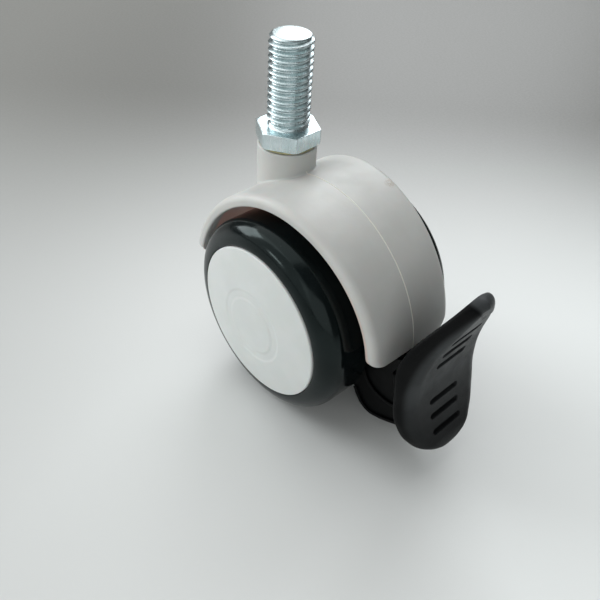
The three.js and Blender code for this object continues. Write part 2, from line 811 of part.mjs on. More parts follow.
// A shape is a three.js geometry, or a manifold solid where it took booleans to make.
function add(name, shape, look) {
  const body = shape instanceof THREE.BufferGeometry ? solid(shape) : shape;
  const mesh = new THREE.Mesh(geometryOf(body), look);
  mesh.name = name;
  group.add(mesh);
}

add('threaded_stem', threadedStem(), zincPlate);
add('stem_washer', turnedZ(ring(4.6, 6.9, NECK_TOP_Z + 0.1, HEX_BOTTOM_Z - 0.1), 32), yellowZinc);
add('swivel_bush', swivelBush(), acetal);
add('stem_retaining_ring', stemRetainingRing(), springSteel);
add('housing', housing(), hoodPlastic);
add('axle', axle(), steel);
for (const [name, side] of [['left', -1], ['right', 1]]) {
  add(`${name}_wheel_core`, wheelCore(side), corePlastic);
  add(`${name}_tyre`, tyre(side), polyurethane);
  add(`${name}_wheel_cap`, wheelCap(side), capPlastic);
  add(`${name}_hub_bush`, hubBush(side), acetal);
  add(`${name}_spacer_washer`, spacerWasher(side), acetal);
  add(`${name}_axle_clip`, axleClip(side), springSteel);
}
add('brake_pedal', brakePedal(), pedalPlastic);
add('brake_shoe', brakeShoe(), shoeRubber);
add('pedal_pin', barY(PIVOT, PIVOT_R, -3.9, 3.9, 24), steel);
add('detent_spring', detentSpring(), springSteel);

export default group;
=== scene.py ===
import math

import bmesh
import bpy
import numpy as np
from mathutils import Matrix, Vector


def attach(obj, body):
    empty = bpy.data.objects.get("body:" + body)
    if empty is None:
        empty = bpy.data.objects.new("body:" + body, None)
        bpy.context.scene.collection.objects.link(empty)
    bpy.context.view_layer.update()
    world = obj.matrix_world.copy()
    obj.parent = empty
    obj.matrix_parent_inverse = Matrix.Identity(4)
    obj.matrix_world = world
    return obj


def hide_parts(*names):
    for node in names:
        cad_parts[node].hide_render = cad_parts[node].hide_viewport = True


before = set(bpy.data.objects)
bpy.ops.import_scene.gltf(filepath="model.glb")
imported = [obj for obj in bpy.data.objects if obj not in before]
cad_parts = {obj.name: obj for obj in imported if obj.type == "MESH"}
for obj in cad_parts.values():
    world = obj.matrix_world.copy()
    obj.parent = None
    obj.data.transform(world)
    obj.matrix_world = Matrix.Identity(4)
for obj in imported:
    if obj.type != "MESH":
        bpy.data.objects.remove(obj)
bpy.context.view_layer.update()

MM = 0.001

# ---- Sizes: the frame's own, except where a comment says otherwise --------------------------------

WHEEL_R = 25.0
AXLE = np.array((0.0, WHEEL_R))
AXLE_R = 2.5
CAP_FACE_Y = 20.9
CAP_DOME = 1.9
WHEEL_INNER_Y = 6.2
RIM_R = 19.6

STEM_X = -14.5
STEM_TOP_Z = 84.9
HEX_TOP_Z = 64.5
HEX_BOTTOM_Z = 60.8
HEX_CORNER_R = 7.8
HEX_CORNER_DEG = 33.0
PIN_BOTTOM_Z = 46.0
PIN_R = 3.0
PIN_GROOVE_R = 2.4
PIN_GROOVE_Z = (47.52, 48.48)
JOURNAL_R = 3.8
JOURNAL_BOTTOM_Z = 52.3
WASHER_R = 6.65
WASHER_BORE_R = 4.6
WASHER_Z = (60.2, 60.7)
THREAD_CREST_R = 4.92
THREAD_PITCH = 1.5
NECK_R = 7.0
NECK_TOP_Z = 60.1

HOOD_R = 31.05
HOOD_HALF_WIDTH = 15.1
HOOD_TAPER = 2.3
HOOD_FRONT_DROP = 1.5
HOOD_WALL = 2.2
HOOD_RIM = 2.95
HOOD_FRONT_DEG = 173.5
WEB_HALF = 2.0

# The hood reaches 1.1 degrees lower over the pedal than the frame's, and its corners are rounder.
HOOD_REAR_DEG = 4.5
HOOD_CORNER_R = 3.5

PIVOT = np.array((15.0, 15.0))
PIVOT_R = 2.4
BRAKE_TRAVEL_DEG = 8.0
DRUM_R = 8.5

# The face of the pedal's leaf is an arc in the middle plane. A slanting crease sets off its tip,
# where z - CREASE_Z + CREASE_SLOPE * (y - CREASE_Y) is above zero.
FACE_CENTRE = np.array((74.3, 29.5))
FACE_R = 33.7
CREASE_Y = 0.9
CREASE_Z = 45.3
CREASE_SLOPE = 1.33

# ---- Shape helpers --------------------------------------------------------------------------------

CORNER_STEP_DEG = 11
BEVEL_STEPS = 5
SAME_PLACE_MM = 1e-4
SAME_PLACE_M = 1e-7


def polar(centre, radius, degrees):
    a = np.radians(degrees)
    return np.array((centre[0] + radius * np.cos(a), centre[1] + radius * np.sin(a)))


def arc(centre, radius, from_deg, to_deg, steps):
    return [polar(centre, radius, d) for d in np.linspace(from_deg, to_deg, steps + 1)]


def smooth(t):
    t = np.clip(t, 0.0, 1.0)
    return t * t * (3 - 2 * t)


def soft_min(a, b, width):
    """The lower of a and b, with the corner between them rounded over about that width."""
    h = np.clip(0.5 + 0.5 * (b - a) / width, 0.0, 1.0)
    return b * (1 - h) + a * h - width * h * (1 - h)


def rounded(corners, closed=True):
    """A line through the corners, each given as (x, y, radius), with the corners rounded."""
    line = []
    count = len(corners)
    for i, (x, y, radius) in enumerate(corners):
        here = np.array((x, y), float)
        if radius == 0 or (not closed and i in (0, count - 1)):
            line.append(here)
            continue
        back = np.array(corners[i - 1][:2]) - here
        ahead = np.array(corners[(i + 1) % count][:2]) - here
        back = back / np.linalg.norm(back)
        ahead = ahead / np.linalg.norm(ahead)
        half = math.acos(np.clip(back @ ahead, -1, 1)) / 2
        reach = radius / math.tan(half)
        middle = (back + ahead) / np.linalg.norm(back + ahead)
        centre = here + middle * radius / math.sin(half)
        start = here + back * reach - centre
        end = here + ahead * reach - centre
        turn = math.pi - 2 * half
        steps = max(2, math.ceil(turn / math.radians(CORNER_STEP_DEG)))
        for k in range(steps + 1):
            t = k / steps
            spoke = start * math.sin((1 - t) * turn) + end * math.sin(t * turn)
            line.append(centre + spoke / math.sin(turn))
    return np.array(line)


def inset(outline, distance):
    """A closed 2-D outline moved inwards by a small distance."""
    ahead = np.roll(outline, -1, axis=0) - outline
    ahead = ahead / np.maximum(np.linalg.norm(ahead, axis=1), 1e-9)[:, None]
    behind = np.roll(ahead, 1, axis=0)
    normal = np.stack((-(ahead + behind)[:, 1], (ahead + behind)[:, 0]), axis=1)
    normal = normal / np.maximum(np.linalg.norm(normal, axis=1), 1e-9)[:, None]
    cosine = np.maximum(-normal[:, 0] * ahead[:, 1] + normal[:, 1] * ahead[:, 0], 0.5)
    x, y = outline[:, 0], outline[:, 1]
    area = np.sum(x * np.roll(y, -1) - np.roll(x, -1) * y)
    return outline + normal * (distance * np.sign(area) / cosine)[:, None]


def mesh_object(name, points, faces):
    """A closed mesh from points in millimetres, its faces turned outwards."""
    mesh = bpy.data.meshes.new(name)
    mesh.from_pydata((np.asarray(points) * MM).tolist(), [], faces)
    shape = bmesh.new()
    shape.from_mesh(mesh)
    bmesh.ops.remove_doubles(shape, verts=shape.verts, dist=SAME_PLACE_M)
    bmesh.ops.recalc_face_normals(shape, faces=shape.faces)
    shape.to_mesh(mesh)
    shape.free()
    piece = bpy.data.objects.new(name, mesh)
    bpy.context.scene.collection.objects.link(piece)
    return piece


def skin(name, rows, looped=False):
    """Rings of points joined in order. A looped skin joins its last ring to its first; any other
    closes each end with a face, or with a point where the ring has no size."""
    rows = np.asarray(rows, float)
    count, around = rows.shape[:2]
    ring = np.arange(around)
    after = (ring + 1) % around
    faces = []
    for r in range(count if looped else count - 1):
        low, high = r * around, ((r + 1) % count) * around
        quads = np.stack((low + ring, low + after, high + after, high + ring), axis=1)
        faces += quads.tolist()
    if not looped:
        for r in (0, count - 1):
            if np.ptp(rows[r], axis=0).max() > SAME_PLACE_MM:
                faces.append((r * around + ring).tolist())
    return mesh_object(name, rows.reshape(-1, 3), faces)


def turned(name, profile, around=128, looped=False, centre=None, side=1):
    """A turned piece. The profile is (radius, height). With a centre it turns about the stem's
    upright axis, and without one about the axle, where side -1 mirrors it to the left wheel."""
    a = np.linspace(0, 2 * np.pi, around, endpoint=False)
    rows = []
    for radius, height in profile:
        if centre is None:
            x = AXLE[0] + radius * np.cos(a)
            z = AXLE[1] + radius * np.sin(a)
            rows.append(np.stack((x, np.full(around, side * height), z), axis=1))
        else:
            x = centre + radius * np.cos(a)
            rows.append(np.stack((x, radius * np.sin(a), np.full(around, height)), axis=1))
    return skin(name, rows, looped)


def slab(name, outline, low_y, high_y, bevel=0.0):
    """An outline in X and Z, extruded along Y, with its two edges rounded over by the bevel."""
    outline = np.asarray(outline, float)
    layers = [(low_y, 0.0), (high_y, 0.0)]
    if bevel:
        steps = [(bevel * (1 - math.cos(t)), bevel * (1 - math.sin(t))) for t in
                 np.linspace(0, math.pi / 2, BEVEL_STEPS)]
        layers = [(low_y + y, d) for y, d in steps] + [(high_y - y, d) for y, d in steps[::-1]]
    rows = []
    for y, distance in layers:
        line = inset(outline, distance) if distance else outline
        rows.append(np.stack((line[:, 0], np.full(len(line), y), line[:, 1]), axis=1))
    return skin(name, rows)


def bar(name, centre, radius, low_y, high_y, bevel=0.0, steps=64):
    """A round bar along Y."""
    circle = arc(centre, radius, 0, 360 * (steps - 1) / steps, steps - 1)
    return slab(name, circle, low_y, high_y, bevel)


def boolean(base, tools, operation):
    """Joins the tools to the base, or cuts the base with them, and uses the tools up."""
    for tool in tools:
        modifier = base.modifiers.new(operation, "BOOLEAN")
        modifier.operation = operation
        modifier.solver = "MANIFOLD"
        modifier.object = tool
    graph = bpy.context.evaluated_depsgraph_get()
    mesh = bpy.data.meshes.new_from_object(base.evaluated_get(graph))
    base.modifiers.clear()
    base.data = mesh
    for tool in tools:
        bpy.data.objects.remove(tool)
    return base


def finish_piece(piece, name, body, look, replaced, sharp_deg=32):
    """Names the piece, shades it, gives it its material and its place in the frame."""
    piece.name = name
    piece.data.name = name
    shape = bmesh.new()
    shape.from_mesh(piece.data)
    bmesh.ops.dissolve_degenerate(shape, edges=shape.edges, dist=SAME_PLACE_M)
    bmesh.ops.recalc_face_normals(shape, faces=shape.faces)
    shape.to_mesh(piece.data)
    shape.free()
    piece.data.shade_smooth()
    piece.data.set_sharp_from_angle(angle=math.radians(sharp_deg))
    piece.data.materials.clear()
    piece.data.materials.append(look)
    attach(piece, body)
    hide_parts(replaced)
    return piece


# ---- Material helpers -----------------------------------------------------------------------------

# Weights for a distance in the plane of the wheels, and for one from an upright line.
IN_XZ = (1, 0, 1)
IN_XY = (1, 1, 0)


class Look:
    """A material being built: its node tree, its shader and its object coordinates. Numbers given in
    the constructor are set on the shader's own sockets."""

    def __init__(self, name, **constants):
        self.material = bpy.data.materials.new(name)
        self.material.use_nodes = True
        self.nodes = self.material.node_tree.nodes
        self.links = self.material.node_tree.links
        self.shader = self.nodes["Principled BSDF"]
        self.place = self.nodes.new("ShaderNodeTexCoord").outputs["Object"]
        for socket, value in constants.items():
            self.shader.inputs[socket.replace("_", " ")].default_value = value

    def put(self, value, socket):
        if isinstance(value, bpy.types.NodeSocket):
            self.links.new(value, socket)
        else:
            socket.default_value = value

    def noise(self, size_mm, detail, rough=0.55, stretch=None):
        """Noise whose features are about size_mm across. A stretch has a weight for each axis, and
        a weight below 1 draws the features out along its axis."""
        node = self.nodes.new("ShaderNodeTexNoise")
        place = self.place
        if stretch is not None:
            mapping = self.nodes.new("ShaderNodeMapping")
            mapping.inputs["Scale"].default_value = stretch
            self.links.new(place, mapping.inputs["Vector"])
            place = mapping.outputs["Vector"]
        self.links.new(place, node.inputs["Vector"])
        node.inputs["Scale"].default_value = 1 / (size_mm * MM)
        node.inputs["Detail"].default_value = detail
        node.inputs["Roughness"].default_value = rough
        return node.outputs["Fac"]

    def spread(self, value, low, high, to_low, to_high):
        """Runs smoothly from to_low, where the value is low or less, to to_high."""
        node = self.nodes.new("ShaderNodeMapRange")
        node.interpolation_type = "SMOOTHSTEP"
        self.put(value, node.inputs["Value"])
        node.inputs["From Min"].default_value = low
        node.inputs["From Max"].default_value = high
        node.inputs["To Min"].default_value = to_low
        node.inputs["To Max"].default_value = to_high
        return node.outputs["Result"]

    def within(self, length, inner_mm, outer_mm, strength=1.0):
        """The strength up to the inner length, running out to nothing at the outer one."""
        return self.spread(length, inner_mm * MM, outer_mm * MM, strength, 0)

    def beyond(self, length, inner_mm, outer_mm, before=0.0):
        """1 past the outer length, and the value before it up to the inner one."""
        return self.spread(length, inner_mm * MM, outer_mm * MM, before, 1)

    def maths(self, operation, a, b=0.0):
        node = self.nodes.new("ShaderNodeMath")
        node.operation = operation
        self.put(a, node.inputs[0])
        self.put(b, node.inputs[1])
        return node.outputs[0]

    def times(self, a, b):
        return self.maths("MULTIPLY", a, b)

    def mix(self, factor, a, b):
        node = self.nodes.new("ShaderNodeMix")
        node.data_type = "RGBA"
        self.put(factor, node.inputs["Factor"])
        self.put(a, node.inputs["A"])
        self.put(b, node.inputs["B"])
        return node.outputs["Result"]

    def split(self):
        """The three object coordinates, in metres."""
        node = self.nodes.new("ShaderNodeSeparateXYZ")
        self.links.new(self.place, node.inputs[0])
        return node.outputs

    def distance(self, point_mm, weights=(1, 1, 1)):
        """Distance in metres from a point, with each axis weighted."""
        node = self.nodes.new("ShaderNodeVectorMath")
        node.operation = "SUBTRACT"
        self.links.new(self.place, node.inputs[0])
        node.inputs[1].default_value = [c * MM for c in point_mm]
        scale = self.nodes.new("ShaderNodeVectorMath")
        scale.operation = "MULTIPLY"
        self.links.new(node.outputs[0], scale.inputs[0])
        scale.inputs[1].default_value = weights
        length = self.nodes.new("ShaderNodeVectorMath")
        length.operation = "LENGTH"
        self.links.new(scale.outputs[0], length.inputs[0])
        return length.outputs["Value"]

    def colour(self, value):
        self.put(value, self.shader.inputs["Base Color"])

    def roughness(self, value):
        self.put(value, self.shader.inputs["Roughness"])

    def bump(self, *layers):
        """Layers of (height, depth in millimetres), laid over each other."""
        normal = None
        for height, depth_mm in layers:
            node = self.nodes.new("ShaderNodeBump")
            node.inputs["Distance"].default_value = depth_mm * MM
            self.put(height, node.inputs["Height"])
            if normal is not None:
                self.links.new(normal, node.inputs["Normal"])
            normal = node.outputs["Normal"]
        self.links.new(normal, self.shader.inputs["Normal"])


def rgb(r, g, b):
    return (r, g, b, 1.0)


def hood_look():
    """Satin off-white moulding: faint mottling, a fine moulded grain, the mould's parting line along
    the crown, a scuff and a few specks, and inside the front lip a warm painted glow that stands
    in for light shining through the thin wall."""
    look = Look("hood_plastic", IOR=1.5, Subsurface_Weight=0.12, Subsurface_Scale=0.002)
    dark, light = rgb(0.565, 0.573, 0.552), rgb(0.6, 0.608, 0.587)
    seam_colour = rgb(0.78, 0.77, 0.70)
    scuff_colour = rgb(0.42, 0.37, 0.31)
    speck_colour = rgb(0.6, 0.57, 0.52)
    glow_through_colour = rgb(0.9, 0.53, 0.4)
    scuff_place = (7.4, 12.4, 55.0)

    x, y, _ = look.split()
    from_middle = look.maths("ABSOLUTE", y)
    from_axle = look.distance((0, 0, WHEEL_R), IN_XZ)
    mottle = look.spread(look.noise(9, 4), 0.35, 0.7, 0, 1)
    colour = look.mix(mottle, dark, light)
    seam = look.times(look.within(from_middle, 0.08, 0.24, 0.9), look.within(from_axle, 31.2, 31.5))
    colour = look.mix(seam, colour, seam_colour)
    scratches = look.spread(look.noise(0.45, 4, 0.7), 0.4, 0.58, 0.2, 0.95)
    scuff = look.times(look.within(look.distance(scuff_place), 0.4, 1.8), scratches)
    colour = look.mix(scuff, colour, scuff_colour)
    specks = look.spread(look.noise(0.8, 2, 0.4), 0.74, 0.8, 0, 0.25)
    colour = look.mix(specks, colour, speck_colour)
    # Painted glow: a warm tint inside the hood's front lip stands in for light shining through its thin
    # wall.
    inside = look.times(look.within(from_axle, 28.9, 29.2), look.spread(x, -20 * MM, 0.0, 1, 0.3))
    inside = look.times(inside, look.within(from_middle, 12.8, 14.2))
    look.colour(look.mix(inside, colour, glow_through_colour))
    look.roughness(look.spread(look.noise(4, 5), 0.3, 0.75, 0.4, 0.55))
    look.bump((look.noise(0.32, 2), 0.012), (look.noise(3.2, 2), 0.035))
    return look.material


def cap_look():
    """Matte pale moulding with a very fine grain and a few specks."""
    look = Look("cap_plastic", IOR=1.48, Subsurface_Weight=0.08, Subsurface_Scale=0.002)
    dark, light = rgb(0.655, 0.686, 0.67), rgb(0.69, 0.716, 0.704)
    speck_colour = rgb(0.5, 0.5, 0.48)

    mottle = look.spread(look.noise(11, 3), 0.35, 0.68, 0, 1)
    specks = look.spread(look.noise(0.7, 2, 0.4), 0.75, 0.82, 0, 0.2)
    look.colour(look.mix(specks, look.mix(mottle, dark, light), speck_colour))
    look.roughness(look.spread(look.noise(5, 4), 0.3, 0.75, 0.46, 0.6))
    look.bump((look.noise(0.28, 2), 0.009), (look.noise(6, 2), 0.03))
    return look.material


def tyre_look():
    """Glossy black polyurethane with a trace of green, handling haze and a few specks of dust."""
    look = Look("polyurethane", IOR=1.5, Specular_IOR_Level=0.24, Specular_Tint=(0.8, 1, 0.98, 1))
    clean, hazy = rgb(0.0025, 0.0042, 0.0045), rgb(0.005, 0.0075, 0.008)
    dust_colour = rgb(0.10, 0.12, 0.12)
    dust_rough = 0.4

    haze = look.spread(look.noise(7, 5, 0.6), 0.4, 0.72, 0, 1)
    dust = look.spread(look.noise(0.45, 2, 0.5), 0.735, 0.79, 0, 0.5)
    look.colour(look.mix(dust, look.mix(haze, clean, hazy), dust_colour))
    rough = look.spread(look.noise(5, 5, 0.62), 0.38, 0.75, 0.12, 0.24)
    look.roughness(look.maths("ADD", rough, look.times(dust, dust_rough)))
    look.bump((look.noise(0.5, 3), 0.004), (look.noise(6, 3), 0.05))
    return look.material


def pedal_look():
    """Matte black moulding with a spark-eroded grain. Its face, less so low down, and the tip past
    the crease are greyer as painted light, and its rolled sides stay darker as painted shade."""
    look = Look("pedal_plastic", IOR=1.5, Specular_IOR_Level=0.1)
    dark, light = rgb(0.0014, 0.0017, 0.0019), rgb(0.0026, 0.003, 0.0033)
    lit_face_colour = rgb(0.048, 0.052, 0.054)
    grain_colour = rgb(0.02, 0.022, 0.023)
    tip_from, tip_to = 46.8, 48.8

    _, y, z = look.split()
    from_centre = look.distance((FACE_CENTRE[0], 0, FACE_CENTRE[1]), IN_XZ)
    face = look.within(from_centre, FACE_R + 0.6, FACE_R + 2.1)
    face = look.times(face, look.beyond(z, 9, 32, before=0.25))
    tip = look.beyond(look.maths("ADD", z, look.times(y, CREASE_SLOPE)), tip_from, tip_to)
    grain = look.noise(0.3, 4, 0.65)
    cloud = look.spread(look.noise(8, 4), 0.35, 0.7, 0, 1)
    # Painted light: the face and the tip are greyer, as if lit, and the rolled sides stay darker as
    # painted shade.
    lit_face = look.times(look.maths("MAXIMUM", face, tip), look.spread(cloud, 0, 1, 0.7, 1))
    colour = look.mix(lit_face, look.mix(cloud, dark, light), lit_face_colour)
    look.colour(look.mix(look.spread(grain, 0.55, 0.8, 0, 0.4), colour, grain_colour))
    look.roughness(look.spread(look.noise(3, 5), 0.3, 0.75, 0.34, 0.46))
    look.bump((grain, 0.045), (look.noise(2.2, 2), 0.02))
    return look.material


def zinc_look():
    """Bright bluish zinc plating: streaked, with painted shade darkening the thread's roots."""
    look = Look("zinc_plate", Metallic=1.0)
    dark, light = rgb(0.65, 0.765, 0.785), rgb(0.75, 0.84, 0.86)
    streak_colour = rgb(0.52, 0.61, 0.63)
    root_shade_colour = rgb(0.4, 0.47, 0.48)

    z = look.split()[2]
    from_stem = look.distance((STEM_X, 0, 0), IN_XY)
    streak = look.noise(0.9, 5, 0.6, stretch=(1, 1, 0.12))
    blotch = look.spread(look.noise(2.6, 4, 0.6), 0.35, 0.7, 0, 1)
    colour = look.mix(blotch, dark, light)
    colour = look.mix(look.spread(streak, 0.5, 0.75, 0, 0.25), colour, streak_colour)
    above_hex = look.beyond(z, HEX_TOP_Z + 0.7, HEX_TOP_Z + 1.1)
    # Painted shade: darker colour down in the thread's roots, where shade falls.
    root_shade = look.times(look.within(from_stem, 4.0, 4.7, 0.55), above_hex)
    look.colour(look.mix(root_shade, colour, root_shade_colour))
    look.roughness(look.spread(streak, 0.3, 0.75, 0.23, 0.36))
    look.bump((look.noise(0.25, 3, 0.6), 0.004), (streak, 0.006))
    return look.material


def metal_look(name, light, dark, low_rough, high_rough, streak=(1, 1, 1)):
    """A blotched metal. The streak is the stretch of its fine grain."""
    look = Look(name, Metallic=1.0)
    blotch = look.spread(look.noise(1.4, 4, 0.6), 0.35, 0.7, 0, 1)
    look.colour(look.mix(blotch, dark, light))
    look.roughness(look.spread(look.noise(0.5, 4, 0.6, streak), 0.3, 0.75, low_rough, high_rough))
    look.bump((look.noise(0.2, 3, 0.6, streak), 0.006))
    return look.material


def plastic_look(name, light, dark, low_rough, high_rough):
    """A plain moulded plastic or rubber with a fine grain."""
    look = Look(name, IOR=1.48)
    look.colour(look.mix(look.spread(look.noise(5, 4), 0.35, 0.7, 0, 1), dark, light))
    look.roughness(look.spread(look.noise(2, 4), 0.3, 0.75, low_rough, high_rough))
    look.bump((look.noise(0.3, 2), 0.01))
    return look.material


hood_plastic = hood_look()
cap_plastic = cap_look()
polyurethane = tyre_look()
pedal_plastic = pedal_look()
zinc_plate = zinc_look()
yellow_zinc = metal_look("yellow_zinc", rgb(0.5, 0.48, 0.29), rgb(0.36, 0.34, 0.2), 0.4, 0.6)
steel = metal_look("steel", rgb(0.62, 0.63, 0.64), rgb(0.48, 0.49, 0.5), 0.22, 0.38, (1, 0.1, 1))
spring_steel = metal_look("spring_steel", rgb(0.42, 0.43, 0.45), rgb(0.28, 0.29, 0.31), 0.25, 0.45)
acetal = plastic_look("acetal", rgb(0.82, 0.79, 0.69), rgb(0.74, 0.71, 0.61), 0.4, 0.55)
core_plastic = plastic_look("core_plastic", rgb(0.6, 0.61, 0.59), rgb(0.54, 0.55, 0.53), 0.45, 0.6)
shoe_rubber = plastic_look("shoe_rubber", rgb(0.02, 0.02, 0.02), rgb(0.01, 0.01, 0.01), 0.75, 0.9)

# ---- Stem ----------------------------------------------------------------------------------------

STEM_AROUND = 144
HEX_TURNED_R = 7.78
HEX_EDGE = 0.1
HEX_CONE_SLOPE = 0.5
HEX_CONE_TOP_R = 7.5
HEX_CONE_BOTTOM_R = 7.4
THREAD_START_Z = 62.5
THREAD_FLANK_DEG = 30
THREAD_CREST_HALF = 0.10
THREAD_CREST_SOFT = 0.16
THREAD_DEPTH = 0.86
THREAD_ROOT_SOFT = 0.22
THREAD_BOTTOM_Z = HEX_TOP_Z + 0.5
THREAD_STEP_Z = 0.09
UNDERCUT_R = 4.3
RUNOUT_SLOPE = 1.2
STEM_END_R = 4.15
stem_angles = np.radians(HEX_CORNER_DEG) + np.linspace(0, 2 * np.pi, STEM_AROUND, endpoint=False)


def hex_radius():
    """Distance from the stem's axis to the hex's side in each direction, its corners turned down."""
    from_flat = (stem_angles - math.radians(HEX_CORNER_DEG)) % (math.pi / 3) - math.pi / 6
    flat = HEX_CORNER_R * math.cos(math.pi / 6)
    return soft_min(flat / np.cos(from_flat), np.full(STEM_AROUND, HEX_TURNED_R), HEX_EDGE)


def thread_radius(z):
    """Radius of a right-hand 60 degree thread at one height, in each direction."""
    turns = (z - THREAD_START_Z) / THREAD_PITCH - stem_angles / (2 * np.pi)
    from_crest = np.abs(turns - np.round(turns)) * THREAD_PITCH
    fall = (from_crest - THREAD_CREST_HALF) / math.tan(math.radians(THREAD_FLANK_DEG))
    fall = -soft_min(-fall, np.zeros(STEM_AROUND), THREAD_CREST_SOFT)
    return THREAD_CREST_R - soft_min(fall, np.full(STEM_AROUND, THREAD_DEPTH), THREAD_ROOT_SOFT)


def stem_piece():
    rows = []

    def ring(radius, height):
        r = np.broadcast_to(radius, (STEM_AROUND,))
        z = np.broadcast_to(height, (STEM_AROUND,))
        x = STEM_X + r * np.cos(stem_angles)
        rows.append(np.stack((x, r * np.sin(stem_angles), z), axis=1))

    # The pin with its retaining groove, and the journal above it that runs in the swivel bush.
    groove_bottom, groove_top = PIN_GROOVE_Z
    for radius, height in rounded([
        (0, PIN_BOTTOM_Z, 0), (PIN_R - 0.7, PIN_BOTTOM_Z, 0.1), (PIN_R, PIN_BOTTOM_Z + 0.7, 0.2),
        (PIN_R, groove_bottom, 0.05), (PIN_GROOVE_R, groove_bottom, 0.05),
        (PIN_GROOVE_R, groove_top, 0.05), (PIN_R, groove_top, 0.05),
        (PIN_R, JOURNAL_BOTTOM_Z - 0.8, 0.2), (JOURNAL_R, JOURNAL_BOTTOM_Z, 0.2),
        (JOURNAL_R, HEX_BOTTOM_Z, 0.1), (5, HEX_BOTTOM_Z, 0),
    ], closed=False):
        ring(radius, height)

    # The hex's corners are chamfered by a cone above and below, and its edges are just broken.
    side = hex_radius()

    def top(radius):
        return HEX_TOP_Z - HEX_CONE_SLOPE * np.maximum(radius - HEX_CONE_TOP_R, 0)

    def bottom(radius):
        return HEX_BOTTOM_Z + HEX_CONE_SLOPE * np.maximum(radius - HEX_CONE_BOTTOM_R, 0)

    ring(side - HEX_EDGE, bottom(side - HEX_EDGE))
    for t in np.linspace(0, math.pi / 2, 4)[1:]:
        ring(side - HEX_EDGE * (1 - math.sin(t)), bottom(side) + HEX_EDGE * (1 - math.cos(t)))
    for t in np.linspace(math.pi / 2, 0, 4):
        ring(side - HEX_EDGE * (1 - math.sin(t)), top(side) - HEX_EDGE * (1 - math.cos(t)))
    ring(side - 0.6, top(side - 0.6))
    ring(6.0, HEX_TOP_Z)

    # The undercut between hex and thread, then the thread up to its chamfered end.
    for radius, height in rounded([
        (5.2, HEX_TOP_Z, 0), (4.75, HEX_TOP_Z, 0.12), (4.4, HEX_TOP_Z + 0.3, 0.12),
        (UNDERCUT_R, HEX_TOP_Z + 0.45, 0),
    ], closed=False):
        ring(radius, height)
    for z in np.arange(THREAD_BOTTOM_Z, STEM_TOP_Z - 0.05, THREAD_STEP_Z):
        runout = UNDERCUT_R + RUNOUT_SLOPE * (z - THREAD_BOTTOM_Z)
        chamfer = STEM_END_R + (STEM_TOP_Z - z)
        ring(soft_min(thread_radius(z), np.full(STEM_AROUND, min(runout, chamfer)), 0.12), z)
    ring(STEM_END_R - 0.05, STEM_TOP_Z - 0.02)
    ring(STEM_END_R - 0.15, STEM_TOP_Z)
    ring(0, STEM_TOP_Z)
    return skin("stem", rows)


finish_piece(stem_piece(), "stem_and_thread", "stem", zinc_plate, "threaded_stem", 50)

washer = rounded([
    (WASHER_BORE_R, WASHER_Z[0], 0.1), (WASHER_R, WASHER_Z[0], 0.2),
    (WASHER_R, WASHER_Z[1], 0.2), (WASHER_BORE_R, WASHER_Z[1], 0.1),
])
finish_piece(turned("washer", washer, 128, True, STEM_X), "stem_washer_ring", "stem",
             yellow_zinc, "stem_washer")

# ---- Housing: hood, neck, web, bosses and socket in one moulding ---------------------------------


CROWN_FALL = 0.2
SHOULDER_AXIAL = 2.0
SHOULDER_RADIAL = 1.5
SEAM_HALF = 0.17
SEAM_HEIGHT = 0.1
HOOD_EDGE = 0.55
HOOD_STATIONS = 190
DROP_FROM_DEG = 85
DROP_OVER_DEG = 70
NECK_HOOD_HALF = 15.5
NECK_FILLET = 0.65
NECK_SUNK = 1.1


def hood_radius(degrees):
    return HOOD_R - HOOD_FRONT_DROP * smooth((degrees - DROP_FROM_DEG) / DROP_OVER_DEG)


def hood_half_width(degrees):
    """Half of the hood's width, which tapers towards the pedal and rounds in at both ends."""
    from_end = min(degrees - HOOD_REAR_DEG, HOOD_FRONT_DEG - degrees)
    reach = min(math.radians(from_end) * HOOD_R, HOOD_CORNER_R) / HOOD_CORNER_R
    corner = HOOD_CORNER_R * (1 - math.sqrt(max(1 - (1 - reach) ** 2, 0)))
    return HOOD_HALF_WIDTH - HOOD_TAPER * math.cos(math.radians(degrees)) - corner


def crown_fall(y, half_width):
    """How far the crown has fallen at a distance from the middle plane."""
    return CROWN_FALL * (y / half_width) ** 2


def hood_section(degrees):
    """The hood's closed section as (radius from the axle, distance from the middle plane). The
    mould's parting line is a fine ridge in the middle of the crown."""
    r = hood_radius(degrees)
    w = hood_half_width(degrees)
    flat = w - SHOULDER_AXIAL
    half = [(r + SEAM_HEIGHT, 0.0), (r + SEAM_HEIGHT * 0.6, SEAM_HALF * 0.6), (r, SEAM_HALF)]
    for y in np.linspace(0.4, flat, 16):
        half.append((r - crown_fall(y, w), y))
    for t in np.radians(np.linspace(8, 90, 11)):
        y = flat + SHOULDER_AXIAL * math.sin(t)
        half.append((r - crown_fall(y, w) - SHOULDER_RADIAL * (1 - math.cos(t)), y))
    low = r - HOOD_RIM
    half += [tuple(p) for p in rounded([
        (low + 0.7, w, 0), (low, w, 0.45), (low, w - 1.5, 0.4),
        (r - HOOD_WALL, w - 2.7, 0.6), (r - HOOD_WALL, w - 4, 0),
    ], closed=False)]
    for y in np.linspace(w - 5, 0.6, 5):
        half.append((r - HOOD_WALL, y))
    mirrored = [(radius, -y) for radius, y in half[:0:-1]]
    return np.array(half + mirrored)


